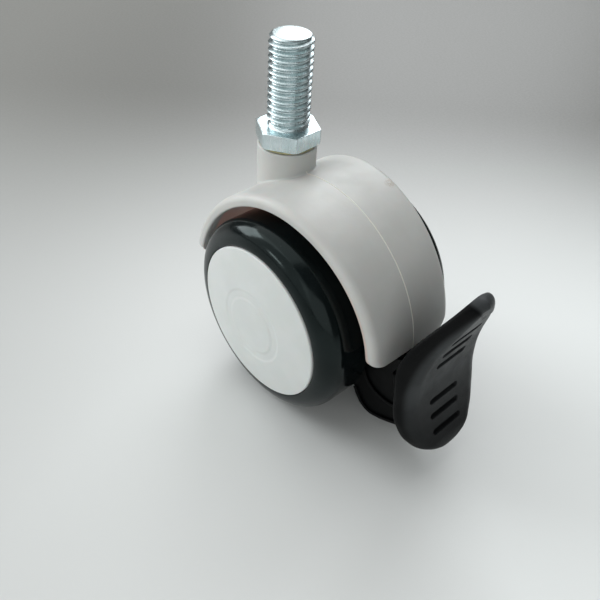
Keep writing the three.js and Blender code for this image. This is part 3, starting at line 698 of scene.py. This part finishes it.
def hood_shell():
    """The hood's sections, one at each station along its arc, its two end edges rounded over."""
    steps = [HOOD_EDGE * (1 - math.cos(t)) for t in np.linspace(0, math.pi / 2, BEVEL_STEPS)]
    near_end = steps[:-1] + [HOOD_EDGE, 0.8, 1.1, 1.5, 2.0, 2.5, 3.0]
    near = [math.degrees(s / HOOD_R) for s in near_end]
    middle = np.linspace(HOOD_REAR_DEG + near[-1], HOOD_FRONT_DEG - near[-1], HOOD_STATIONS)[1:-1]
    stations = [HOOD_REAR_DEG + n for n in near] + list(middle)
    stations += [HOOD_FRONT_DEG - n for n in reversed(near)]
    rows = []
    for degrees in stations:
        end = min(degrees - HOOD_REAR_DEG, HOOD_FRONT_DEG - degrees)
        short = HOOD_EDGE - math.radians(end) * HOOD_R
        section = hood_section(degrees)
        if short > SAME_PLACE_MM:
            section = inset(section, HOOD_EDGE - math.sqrt(HOOD_EDGE ** 2 - short ** 2))
        x, z = polar(AXLE, section[:, 0], degrees)
        rows.append(np.stack((x, section[:, 1], z), axis=1))
    return skin("hood", rows)


def hood_height(x, y):
    """Height of the crown's outer surface over a point, where the surface faces upwards."""
    z = AXLE[1] + np.sqrt(HOOD_R ** 2 - x ** 2)
    for _ in range(3):
        degrees = np.degrees(np.arctan2(z - AXLE[1], x))
        r = hood_radius(degrees) - crown_fall(y, NECK_HOOD_HALF)
        z = AXLE[1] + np.sqrt(r ** 2 - x ** 2)
    return z


def neck():
    """The neck with the fillet that carries it down on to the hood's crown."""
    around = 144
    a = np.linspace(0, 2 * np.pi, around, endpoint=False)
    rows = []

    def ring(radius, height, on_hood=True):
        """A ring at a height over the hood's surface, or else at a height from the floor."""
        x = STEM_X + radius * np.cos(a)
        y = radius * np.sin(a)
        z = height + hood_height(x, y) if on_hood else np.full(around, height)
        rows.append(np.stack((x, y, z), axis=1))

    skirt = NECK_R + NECK_FILLET * 1.15
    for radius in (0.0, 2.0, 4.0, 6.0, skirt):
        ring(radius, -NECK_SUNK)
    ring(skirt, -0.07)
    for t in np.radians(np.linspace(0, 90, 9)):
        radius = NECK_R + NECK_FILLET * (1 - math.sin(t))
        ring(radius, NECK_FILLET * (1 - math.cos(t)) - 0.03 * (1 - math.sin(t)))
    for radius, height in rounded([
        (NECK_R, 59.0, 0), (NECK_R, NECK_TOP_Z, 0.4), (4, NECK_TOP_Z, 0), (0, NECK_TOP_Z, 0),
    ], closed=False):
        ring(radius, height, on_hood=False)
    return skin("neck", rows)


AXLE_BOSS_R = 6.5
AXLE_BOSS_HALF = 5.4
EYE_R = 5.5
SOCKET_R = 6.0
SOCKET_BOTTOM_Z = 43.6
UNDER_CROWN_R = 29.6
PIN_BORE_R = PIN_R + 0.08
RING_POCKET_R = 4.6
RING_POCKET_Z = (46.8, 48.7)
BUSH_SEAT_R = 5.75
BUSH_SEAT_Z = 52.1
BUSH_FLANGE_R = 6.45
BUSH_FLANGE_Z = 58.1


def box(name, low, high, half_width):
    """A box across the middle plane, from its low to its high corner in X and Z."""
    outline = [(low[0], low[1]), (high[0], low[1]), (high[0], high[1]), (low[0], high[1])]
    return slab(name, outline, -half_width, half_width)


def housing_piece():
    inside = HOOD_R - HOOD_WALL + 0.6
    web_line = [
        *arc(AXLE, inside, 8.6, 100, 48),
        *arc(AXLE, inside - 1, 105, 136, 18),
        *rounded([(-20.3, 44.7, 0), (-17, 36, 2), (-8, 21, 1.5), (-3, 20.3, 0)], closed=False)[1:-1],
        *arc(AXLE, EYE_R, -120, -60, 6),
        (8.5, 18.4),
        *arc(PIVOT, EYE_R, -170, 10, 28),
        (20.6, 24.6),
        (24, 25.6),
    ]
    web = slab("web", web_line, -WEB_HALF, WEB_HALF)
    boss = bar("boss", AXLE, AXLE_BOSS_R, -AXLE_BOSS_HALF, AXLE_BOSS_HALF, 0.35, 96)
    socket = turned("socket", rounded([
        (0, SOCKET_BOTTOM_Z, 0), (SOCKET_R - 0.6, SOCKET_BOTTOM_Z, 0.3),
        (SOCKET_R, SOCKET_BOTTOM_Z + 0.6, 0.3), (SOCKET_R, 51, 0), (0, 51, 0),
    ], closed=False), 96, centre=STEM_X)
    under_crown = bar("under_crown", AXLE, UNDER_CROWN_R, -8, 8, steps=160)
    boolean(socket, [under_crown], "INTERSECT")
    body = boolean(hood_shell(), [neck(), web, boss, socket], "UNION")

    # The stem's stepped bore, the axle and pivot holes, and the detent spring's slit and pocket.
    ring_bottom, ring_top = RING_POCKET_Z
    bore = turned("bore", rounded([
        (0, 45.2, 0), (PIN_BORE_R, 45.2, 0), (PIN_BORE_R, ring_bottom, 0), (RING_POCKET_R, ring_bottom, 0),
        (RING_POCKET_R, ring_top, 0), (PIN_BORE_R, ring_top, 0), (PIN_BORE_R, BUSH_SEAT_Z - 0.8, 0),
        (JOURNAL_R + 0.1, BUSH_SEAT_Z, 0), (BUSH_SEAT_R, BUSH_SEAT_Z, 0), (BUSH_SEAT_R, BUSH_FLANGE_Z, 0),
        (BUSH_FLANGE_R, BUSH_FLANGE_Z, 0), (BUSH_FLANGE_R, NECK_TOP_Z + 1, 0), (0, NECK_TOP_Z + 1, 0),
    ], closed=False), 96, centre=STEM_X)
    axle_hole = bar("axle_hole", AXLE, AXLE_R + 0.05, -30, 30)
    pivot_hole = bar("pivot_hole", PIVOT, PIVOT_R + 0.05, -5, 5)
    slit = box("slit", (18.7, 24.5), (19.7, 27.6), 3)
    pocket = box("pocket", (18.0, 17.4), (23, 25), 3.1)
    return boolean(body, [bore, axle_hole, pivot_hole, slit, pocket], "DIFFERENCE")


finish_piece(housing_piece(), "housing_moulding", "fork", hood_plastic, "housing", 38)

# ---- Wheels --------------------------------------------------------------------------------------


TYRE_GAP = 0.15
TYRE_SHOULDER = 4.8
CAP_BACK_Y = 19.45
CAP_SKIRT_R = (15.4, 16.6)
CAP_SKIRT_Y = 17.4
CAP_RING_R = (7.0, 9.95)
CAP_RING_SOFT = 0.8
CAP_RING_DEPTH = 0.12

# The right tyre's outer shoulder is squarer and further out than the left's. The frame's are alike.
WHEELS = (
    {"prefix": "left", "side": -1, "fullness": 2, "outwards": 0},
    {"prefix": "right", "side": 1, "fullness": 3, "outwards": 0.6},
)


def tyre_profile(fullness, outwards):
    """A tyre's section. A fullness of 2 makes its outer shoulder an ellipse, and more squares it."""
    inner = RIM_R + TYRE_GAP
    outer_y = CAP_FACE_Y - 0.35 + outwards
    low = WHEEL_INNER_Y + 0.3
    start = rounded([
        (inner, low, 0.15), (WHEEL_R - 1.2, low, 0.5), (WHEEL_R, low + 1.9, 1.2), (WHEEL_R, 13, 0),
    ], closed=False)
    line = [(inner, low + 0.2), *start[1:]]
    for t in np.radians(np.linspace(0, 88, 27)):
        line.append((inner + (WHEEL_R - inner) * math.cos(t) ** (2 / fullness),
                     outer_y - TYRE_SHOULDER * (1 - math.sin(t) ** (2 / fullness))))
    line.append((inner, outer_y - 0.12))
    return line


def cap_rise(radius):
    """How far the cap's crowned face stands out from its rim."""
    return CAP_DOME * (1 - (radius / RIM_R) ** 2)


def cap_profile():
    """The cap from the middle of its back, over its skirt and rim, and across its face with the
    shallow ring, back to the middle."""
    skirt_in, skirt_out = CAP_SKIRT_R
    ring_in, ring_out = CAP_RING_R
    line = [(r, CAP_BACK_Y + cap_rise(r) - cap_rise(skirt_in)) for r in np.linspace(0, 15, 8)]
    line += rounded([
        (15.0, CAP_BACK_Y, 0), (skirt_in, CAP_BACK_Y, 0), (skirt_in, CAP_SKIRT_Y, 0.1),
        (skirt_out, CAP_SKIRT_Y, 0.1), (skirt_out, CAP_BACK_Y, 0.1), (RIM_R, CAP_BACK_Y, 0.1),
        (RIM_R, CAP_FACE_Y, 0.35), (RIM_R - 0.8, CAP_FACE_Y + cap_rise(RIM_R - 0.8), 0),
    ], closed=False)[1:].tolist()
    for radius in np.linspace(RIM_R - 1.4, 0, 100):
        inside = (smooth((radius - ring_in) / CAP_RING_SOFT)
                  * smooth((ring_out - radius) / CAP_RING_SOFT))
        line.append((radius, CAP_FACE_Y + cap_rise(radius) - CAP_RING_DEPTH * inside))
    return line


for wheel in WHEELS:
    prefix, side = wheel["prefix"], wheel["side"]
    body = f"{prefix}_wheel"
    profile = tyre_profile(wheel["fullness"], wheel["outwards"])
    tyre = turned("tyre", profile, 192, True, side=side)
    finish_piece(tyre, f"{prefix}_tyre_ring", body, polyurethane, f"{prefix}_tyre", 60)
    cap = turned("cap", cap_profile(), 160, side=side)
    finish_piece(cap, f"{prefix}_wheel_disc", body, cap_plastic, f"{prefix}_wheel_cap")

# ---- Brake pedal ---------------------------------------------------------------------------------

FACE_STRAIGHT_Z = 39.5
LEAF_BOTTOM_Z = 7.4
LEAF_TOP_Z = 51.4
LEAF_STATIONS = 170
LEAF_BUNCHING = 0.9
LEAF_T = 5.1
LEAF_TIP_T = 3.4
LEAF_SIDE_T = 3.9
LEAF_THIN_FROM = 0.45
LEAF_ROLL = 4.2
LEAF_BEND = 1.6
LEAF_EDGE = 0.6
LEAF_SHIFT = 0.2
LEAF_LEAN = 0.5
LEAF_LEAN_BACK = 0.3
TIP_STEP = 0.45
CREASE_DIP = 0.22
CREASE_WIDTH = 0.6
SHOE_FACE_R = DRUM_R + 0.25
SHOE_T = 2.8

# At rest the pedal is rocked by the whole of the brake's travel away from the drums, and its shoe
# with it.
rocked = math.radians(-BRAKE_TRAVEL_DEG)
SHOE_CENTRE = PIVOT + np.array([
    [math.cos(rocked), math.sin(rocked)],
    [-math.sin(rocked), math.cos(rocked)],
]) @ (AXLE - PIVOT)

# Half of the leaf's width at a few heights.
leaf_z = [8.2, 9.8, 13, 18, 25, 31, 38, 44, 48.5, 51.3]
leaf_half = [5.0, 7.9, 11, 13.0, 13.3, 13.1, 11.7, 8.9, 5.7, 2.8]


def face_x(z):
    """The face in the middle plane: an arc that runs on straight above the upper grooves."""
    low = np.minimum(z, FACE_STRAIGHT_Z)
    rise = low - FACE_CENTRE[1]
    across = np.sqrt(FACE_R ** 2 - rise ** 2)
    return FACE_CENTRE[0] - across + (z - low) * rise / across


def leaf_width(z):
    """Half of the leaf's width: a smooth line through those widths, closed round at both ends."""
    low, high = leaf_z[0], leaf_z[-2]
    if z < low:
        return leaf_half[0] * math.sqrt(max((z - LEAF_BOTTOM_Z) / (low - LEAF_BOTTOM_Z), 0))
    i = min(np.searchsorted(leaf_z, z, side="right") - 1, len(leaf_z) - 2)
    slopes = np.gradient(leaf_half, leaf_z)
    step = leaf_z[i + 1] - leaf_z[i]
    t = (z - leaf_z[i]) / step
    a, b = leaf_half[i], leaf_half[i + 1]
    width = (a * (1 + 2 * t) * (1 - t) ** 2 + slopes[i] * step * t * (1 - t) ** 2
             + b * t * t * (3 - 2 * t) + slopes[i + 1] * step * t * t * (t - 1))
    if z > high:
        width *= math.sqrt(max(1 - ((z - high) / (LEAF_TOP_Z - high)) ** 3, 0))
    return width


def leaf_thickness(z):
    """The leaf's thickness in its middle and at its sides, which are thinner in its lower half."""
    middle = LEAF_T + (LEAF_TIP_T - LEAF_T) * smooth((z - 38) / (LEAF_TOP_Z - 38))
    sides = LEAF_SIDE_T + (LEAF_T - LEAF_SIDE_T) * smooth((z - 28) / 6)
    return middle, min(middle, sides)


def crease_step(y, z):
    """How far the face stands forward at the tip, past a slanting crease that dips into it."""
    past = (z - CREASE_Z) + CREASE_SLOPE * (y - CREASE_Y)
    step = TIP_STEP * smooth((past - CREASE_WIDTH) / 5) - CREASE_DIP * smooth(past / CREASE_WIDTH)
    return step * smooth((z - CREASE_Z + 1) / 1.5)


def leaf():
    """The leaf's rings, one for each height. It thins towards its sides, its face rolls back along
    both sides and the foot, and its upper half leans a little towards +Y."""
    rise = np.linspace(0, 1, LEAF_STATIONS)
    bunched = rise - LEAF_BUNCHING * np.sin(2 * np.pi * rise) / (2 * np.pi)
    turn = np.linspace(-math.pi / 2, math.pi / 2, 61)
    corner = [(1 - math.sin(a), 1 - math.cos(a)) for a in np.radians((15, 40, 65))]
    rows = []
    for z in LEAF_BOTTOM_Z + (LEAF_TOP_Z - LEAF_BOTTOM_Z) * bunched:
        width = max(leaf_width(z), 0.02)
        thick, side_thick = leaf_thickness(z)
        y = width * np.sin(turn)
        from_side = np.clip(1 - (width - np.abs(y)) / LEAF_ROLL, 0, 1)
        from_foot = np.clip(1 - (z - LEAF_BOTTOM_Z) / LEAF_ROLL, 0, 1)
        t = np.minimum(np.hypot(from_side, from_foot), 1)
        front = face_x(z) - (side_thick - LEAF_EDGE) * (1 - (1 - t ** LEAF_BEND) ** (1 / LEAF_BEND))
        front = front + crease_step(y, z)
        back_y = width * np.linspace(1, -1, 25)
        thin = smooth((np.abs(back_y) / width - LEAF_THIN_FROM) / (1 - LEAF_THIN_FROM))
        back = face_x(z) - thick + (thick - side_thick) * thin
        soft = min(0.5, width * 0.45)
        ring = list(zip(front, y))
        ring += [(back[0] + soft * u, width - soft * v) for u, v in corner]
        ring += list(zip(back[2:-2], back_y[2:-2]))
        ring += [(back[-1] + soft * u, -width + soft * v) for u, v in reversed(corner)]
        shift = LEAF_SHIFT + LEAF_LEAN * smooth((z - 28) / 13) - LEAF_LEAN_BACK * smooth((z - 42) / 9)
        rows.append([(x, across + shift, z) for x, across in ring])
    return skin("leaf", rows)


# Each groove's height on the face, and its radius.
GROOVES = ((13.9, 0.68), (17.8, 0.7), (21.8, 0.7), (32.8, 0.8), (36.7, 0.95), (41.2, 1.05))
GROOVE_HALF = 4.8
GROOVE_DEPTH = 1.1


def groove(z, radius):
    """The cutter for a groove with round ends and a softened lip, square to the face."""
    line = np.array([
        *arc((GROOVE_HALF - radius, 0), radius, -90, 90, 14),
        *arc((-GROOVE_HALF + radius, 0), radius, 90, 270, 14),
    ])
    slope = math.asin((min(z, FACE_STRAIGHT_Z) - FACE_CENTRE[1]) / FACE_R)
    # Square to the face: outwards is +X tipped down by the slope, and up the face is its normal.
    outward = np.array((math.cos(slope), 0, -math.sin(slope)))
    upward = np.array((math.sin(slope), 0, math.cos(slope)))
    centre = np.array((face_x(z), 0, z))
    rows = []
    bottom = ((-GROOVE_DEPTH, -0.25), (-GROOVE_DEPTH + 0.08, -0.1), (-GROOVE_DEPTH + 0.3, 0))
    lip = ((-0.22, 0), (-0.1, 0.04), (0.0, 0.13), (0.6, 0.8))
    for depth, grow in bottom + lip:
        grown = inset(line, -grow) if grow else line
        rows.append(centre + outward * depth + grown[:, :1] * np.array((0, 1, 0)) + grown[:, 1:] * upward)
    return skin("groove", rows)


ARM_LOWER_EDGE = [
    (10, 7.5), (16, 7.3), (19.2, 6.5), (20.5, 4.8), (22.2, 3.0), (24.8, 2.0), (28, 2.8), (31, 4.2),
    (34, 5.8), (42.5, 10.4),
]
INNER_RIB = [(20.6, 16.4), (22.2, 13.4), (24.4, 11.4), (27.4, 10.5), (31, 10.7), (37, 12.6)]
CHEEK_HALF = 3.6
RIB_HALF = 4.2
RIB_T = 0.9
SLOT_HALF = WEB_HALF + 0.3
CRADLE_T = 2.6
PIVOT_EYE_R = 4.6
PIVOT_BOSS_R = 4.2
PAD_HALF = 5.2
PAD_T = 5.5
FINE_STEPS = 8


def fine_line(points):
    """A smooth line through the points, with FINE_STEPS steps between each two."""
    points = np.array(points, float)
    padded = np.vstack((2 * points[0] - points[1], points, 2 * points[-1] - points[-2]))
    line = []
    for i in range(1, len(padded) - 2):
        p0, p1, p2, p3 = padded[i - 1:i + 3]
        for t in np.linspace(0, 1, FINE_STEPS, endpoint=False):
            line.append(0.5 * (2 * p1 + (p2 - p0) * t + (2 * p0 - 5 * p1 + 4 * p2 - p3) * t * t
                               + (3 * p1 - p0 - 3 * p2 + p3) * t ** 3))
    return np.array([*line, points[-1]])


def strip(line, thickness):
    """The closed outline of a strip of even thickness along a line."""
    ahead = np.gradient(line, axis=0)
    ahead = ahead / np.linalg.norm(ahead, axis=1)[:, None]
    normal = np.stack((-ahead[:, 1], ahead[:, 0]), axis=1) * thickness / 2
    return np.vstack((line + normal, (line - normal)[::-1]))


def pedal_piece():
    cradle_in = SHOE_FACE_R + SHOE_T + 0.15
    lower = fine_line(ARM_LOWER_EDGE)
    outline = [
        *arc(SHOE_CENTRE, cradle_in + CRADLE_T, -112, -76, 14),
        *lower,
        (42.3, 12), (38, 20), (36.4, 30.5), (30, 25.4), (24, 23), (14, 19.6),
        *arc(PIVOT, PIVOT_EYE_R, 110, 160, 10),
        (6.5, 12.8),
        *arc(SHOE_CENTRE, cradle_in, -68, -112, 18),
    ]
    arm = slab("arm", outline, -CHEEK_HALF, CHEEK_HALF)
    # The outer rib lies just inside the lower edge, from that edge's third point on.
    outer_line = lower[2 * FINE_STEPS:] + np.array((0, RIB_T / 2))
    outer_rib = slab("outer_rib", strip(outer_line, RIB_T), -RIB_HALF, RIB_HALF, 0.2)
    inner_rib = slab("inner_rib", strip(fine_line(INNER_RIB), RIB_T), -RIB_HALF, RIB_HALF, 0.2)
    boss = bar("pivot_boss", PIVOT, PIVOT_BOSS_R, -RIB_HALF, RIB_HALF, 0.25, 72)
    heights = np.linspace(11, 23, 13)
    pad_line = np.stack((face_x(heights) - LEAF_T - PAD_T / 2, heights), axis=1)
    pad = slab("pad", strip(pad_line, PAD_T + 1), -PAD_HALF, PAD_HALF, 0.4)
    body = boolean(arm, [outer_rib, inner_rib, boss], "UNION")
    slot = box("slot", (6.3, 8.1), (21.6, 32), SLOT_HALF)
    hole = bar("hole", PIVOT, PIVOT_R + 0.08, -6, 6)
    body = boolean(body, [slot, hole], "DIFFERENCE")
    face = boolean(leaf(), [groove(z, radius) for z, radius in GROOVES], "DIFFERENCE")
    return boolean(face, [body, pad], "UNION")


finish_piece(pedal_piece(), "pedal_moulding", "pedal", pedal_plastic, "brake_pedal", 40)

# ---- The frame's own pieces that stay: smooth shading and their materials -------------------------

kept = {
    "swivel_bush": acetal,
    "stem_retaining_ring": spring_steel,
    "axle": steel,
    "pedal_pin": steel,
    "brake_shoe": shoe_rubber,
    "detent_spring": spring_steel,
}
for prefix in ("left", "right"):
    kept[f"{prefix}_wheel_core"] = core_plastic
    kept[f"{prefix}_hub_bush"] = acetal
    kept[f"{prefix}_spacer_washer"] = acetal
    kept[f"{prefix}_axle_clip"] = spring_steel
for name, look in kept.items():
    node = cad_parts[name]
    node.data.shade_smooth()
    node.data.set_sharp_from_angle(angle=math.radians(30))
    node.data.materials.clear()
    node.data.materials.append(look)

# ---- Floor, light and camera ----------------------------------------------------------------------


def floor_look():
    """Pale desk paper with painted light: a painted reflection of the windows makes it brightest on
    the +X +Y side, it is greyer on the other, and painted falloff darkens it away from the caster
    on the -X +Y side."""
    look = Look("floor_paper", IOR=1.6)
    near_grey = rgb(0.455, 0.465, 0.455)
    near_middle = rgb(0.70, 0.72, 0.71)
    near_glare = rgb(0.85, 0.88, 0.87)
    falloff_left = rgb(0.225, 0.225, 0.212)
    falloff_right = rgb(0.13, 0.13, 0.12)
    diagonal = 0.7

    x, y, _ = look.split()
    # Painted light: the tone runs from grey to a painted glare across the floor, and darkens into painted
    # falloff away from the caster.
    far = look.times(look.maths("SUBTRACT", y, x), diagonal)
    across = look.times(look.maths("ADD", x, y), diagonal)
    near = look.mix(look.beyond(across, -130, 0), near_grey, near_middle)
    near = look.mix(look.beyond(across, 0, 120), near, near_glare)
    falloff = look.mix(look.beyond(across, -180, 0), falloff_left, falloff_right)
    look.colour(look.mix(look.beyond(far, 0, 170), near, falloff))
    look.roughness(look.spread(look.noise(1.2, 4), 0.3, 0.7, 0.42, 0.5))
    look.bump((look.noise(0.7, 3, 0.6), 0.02))
    return look.material


FLOOR_HALF_M = 3
corners = [(-FLOOR_HALF_M, -FLOOR_HALF_M, 0), (FLOOR_HALF_M, -FLOOR_HALF_M, 0),
           (FLOOR_HALF_M, FLOOR_HALF_M, 0), (-FLOOR_HALF_M, FLOOR_HALF_M, 0)]
floor_mesh = bpy.data.meshes.new("floor")
floor_mesh.from_pydata(corners, [], [(0, 1, 2, 3)])
floor = bpy.data.objects.new("floor", floor_mesh)
bpy.context.scene.collection.objects.link(floor)
floor.data.materials.append(floor_look())

LIGHT_TARGET = Vector((0, 0, 0.035))
DAYLIGHT = (0.95, 0.98, 1.0)
WALL_LIGHT = (0.98, 1.0, 0.99)
WHITE = (1, 1, 1)
ROOM_COLOUR = rgb(0.93, 0.96, 0.95)
ROOM_STRENGTH = 0.11


def towards(azimuth_deg, elevation_deg):
    """The direction of what stands at an azimuth and elevation. Azimuth 0 is -Y, and 90 is +X."""
    a, e = math.radians(azimuth_deg), math.radians(elevation_deg)
    return Vector((math.sin(a) * math.cos(e), -math.cos(a) * math.cos(e), math.sin(e)))


def area_light(name, azimuth_deg, elevation_deg, distance, size, watts, colour):
    """A rectangular light that faces the target."""
    way = towards(azimuth_deg, elevation_deg)
    data = bpy.data.lights.new(name, "AREA")
    data.shape = "RECTANGLE"
    data.size, data.size_y = size
    data.energy = watts
    data.color = colour
    light = bpy.data.objects.new(name, data)
    light.location = LIGHT_TARGET + way * distance
    light.rotation_mode = "QUATERNION"
    light.rotation_quaternion = way.to_track_quat("Z", "Y")
    bpy.context.scene.collection.objects.link(light)


area_light("window_behind", -145, 32, 1.3, (0.75, 0.9), 7.5, DAYLIGHT)
area_light("window_left", -66, 23, 1.3, (0.6, 0.62), 6.4, DAYLIGHT)
area_light("window_gap", -24, 16, 1.3, (0.3, 0.14), 0.8, WHITE)
area_light("sky", -100, 66, 1.4, (2.4, 1.8), 16.5, WHITE)
area_light("wall_left", -20, 28, 1.4, (2.2, 1.4), 6.0, WALL_LIGHT)
area_light("fill", 47, 20, 1.4, (1.6, 1.0), 4.5, WHITE)

world = bpy.data.worlds.new("room")
world.use_nodes = True
world.node_tree.nodes["Background"].inputs["Color"].default_value = ROOM_COLOUR
world.node_tree.nodes["Background"].inputs["Strength"].default_value = ROOM_STRENGTH
bpy.context.scene.world = world
bpy.context.scene.view_settings.view_transform = "Standard"

# The roll stands for the lean of a real caster that rests on its pedal's arm.
CAMERA_AZ = 45.49
CAMERA_EL = 41.82
CAMERA_ROLL = 3.94
CAMERA_PLACE = (0.08688, -0.09203, 0.13345)
CAMERA_LENS = 39.0
CAMERA_SENSOR = 36

azimuth, roll = math.radians(CAMERA_AZ), math.radians(CAMERA_ROLL)
back = towards(CAMERA_AZ, CAMERA_EL)
level = Vector((math.cos(azimuth), math.sin(azimuth), 0))
upright = back.cross(level)
right = level * math.cos(roll) + upright * math.sin(roll)
up = upright * math.cos(roll) - level * math.sin(roll)
camera_data = bpy.data.cameras.new("camera")
camera_data.lens = CAMERA_LENS
camera_data.sensor_width = CAMERA_SENSOR
camera_data.clip_start = 0.01
camera_data.clip_end = 20
camera = bpy.data.objects.new("camera", camera_data)
camera.matrix_world = Matrix((
    (right.x, up.x, back.x, CAMERA_PLACE[0]),
    (right.y, up.y, back.y, CAMERA_PLACE[1]),
    (right.z, up.z, back.z, CAMERA_PLACE[2]),
    (0, 0, 0, 1),
))
bpy.context.scene.collection.objects.link(camera)
bpy.context.scene.camera = camera
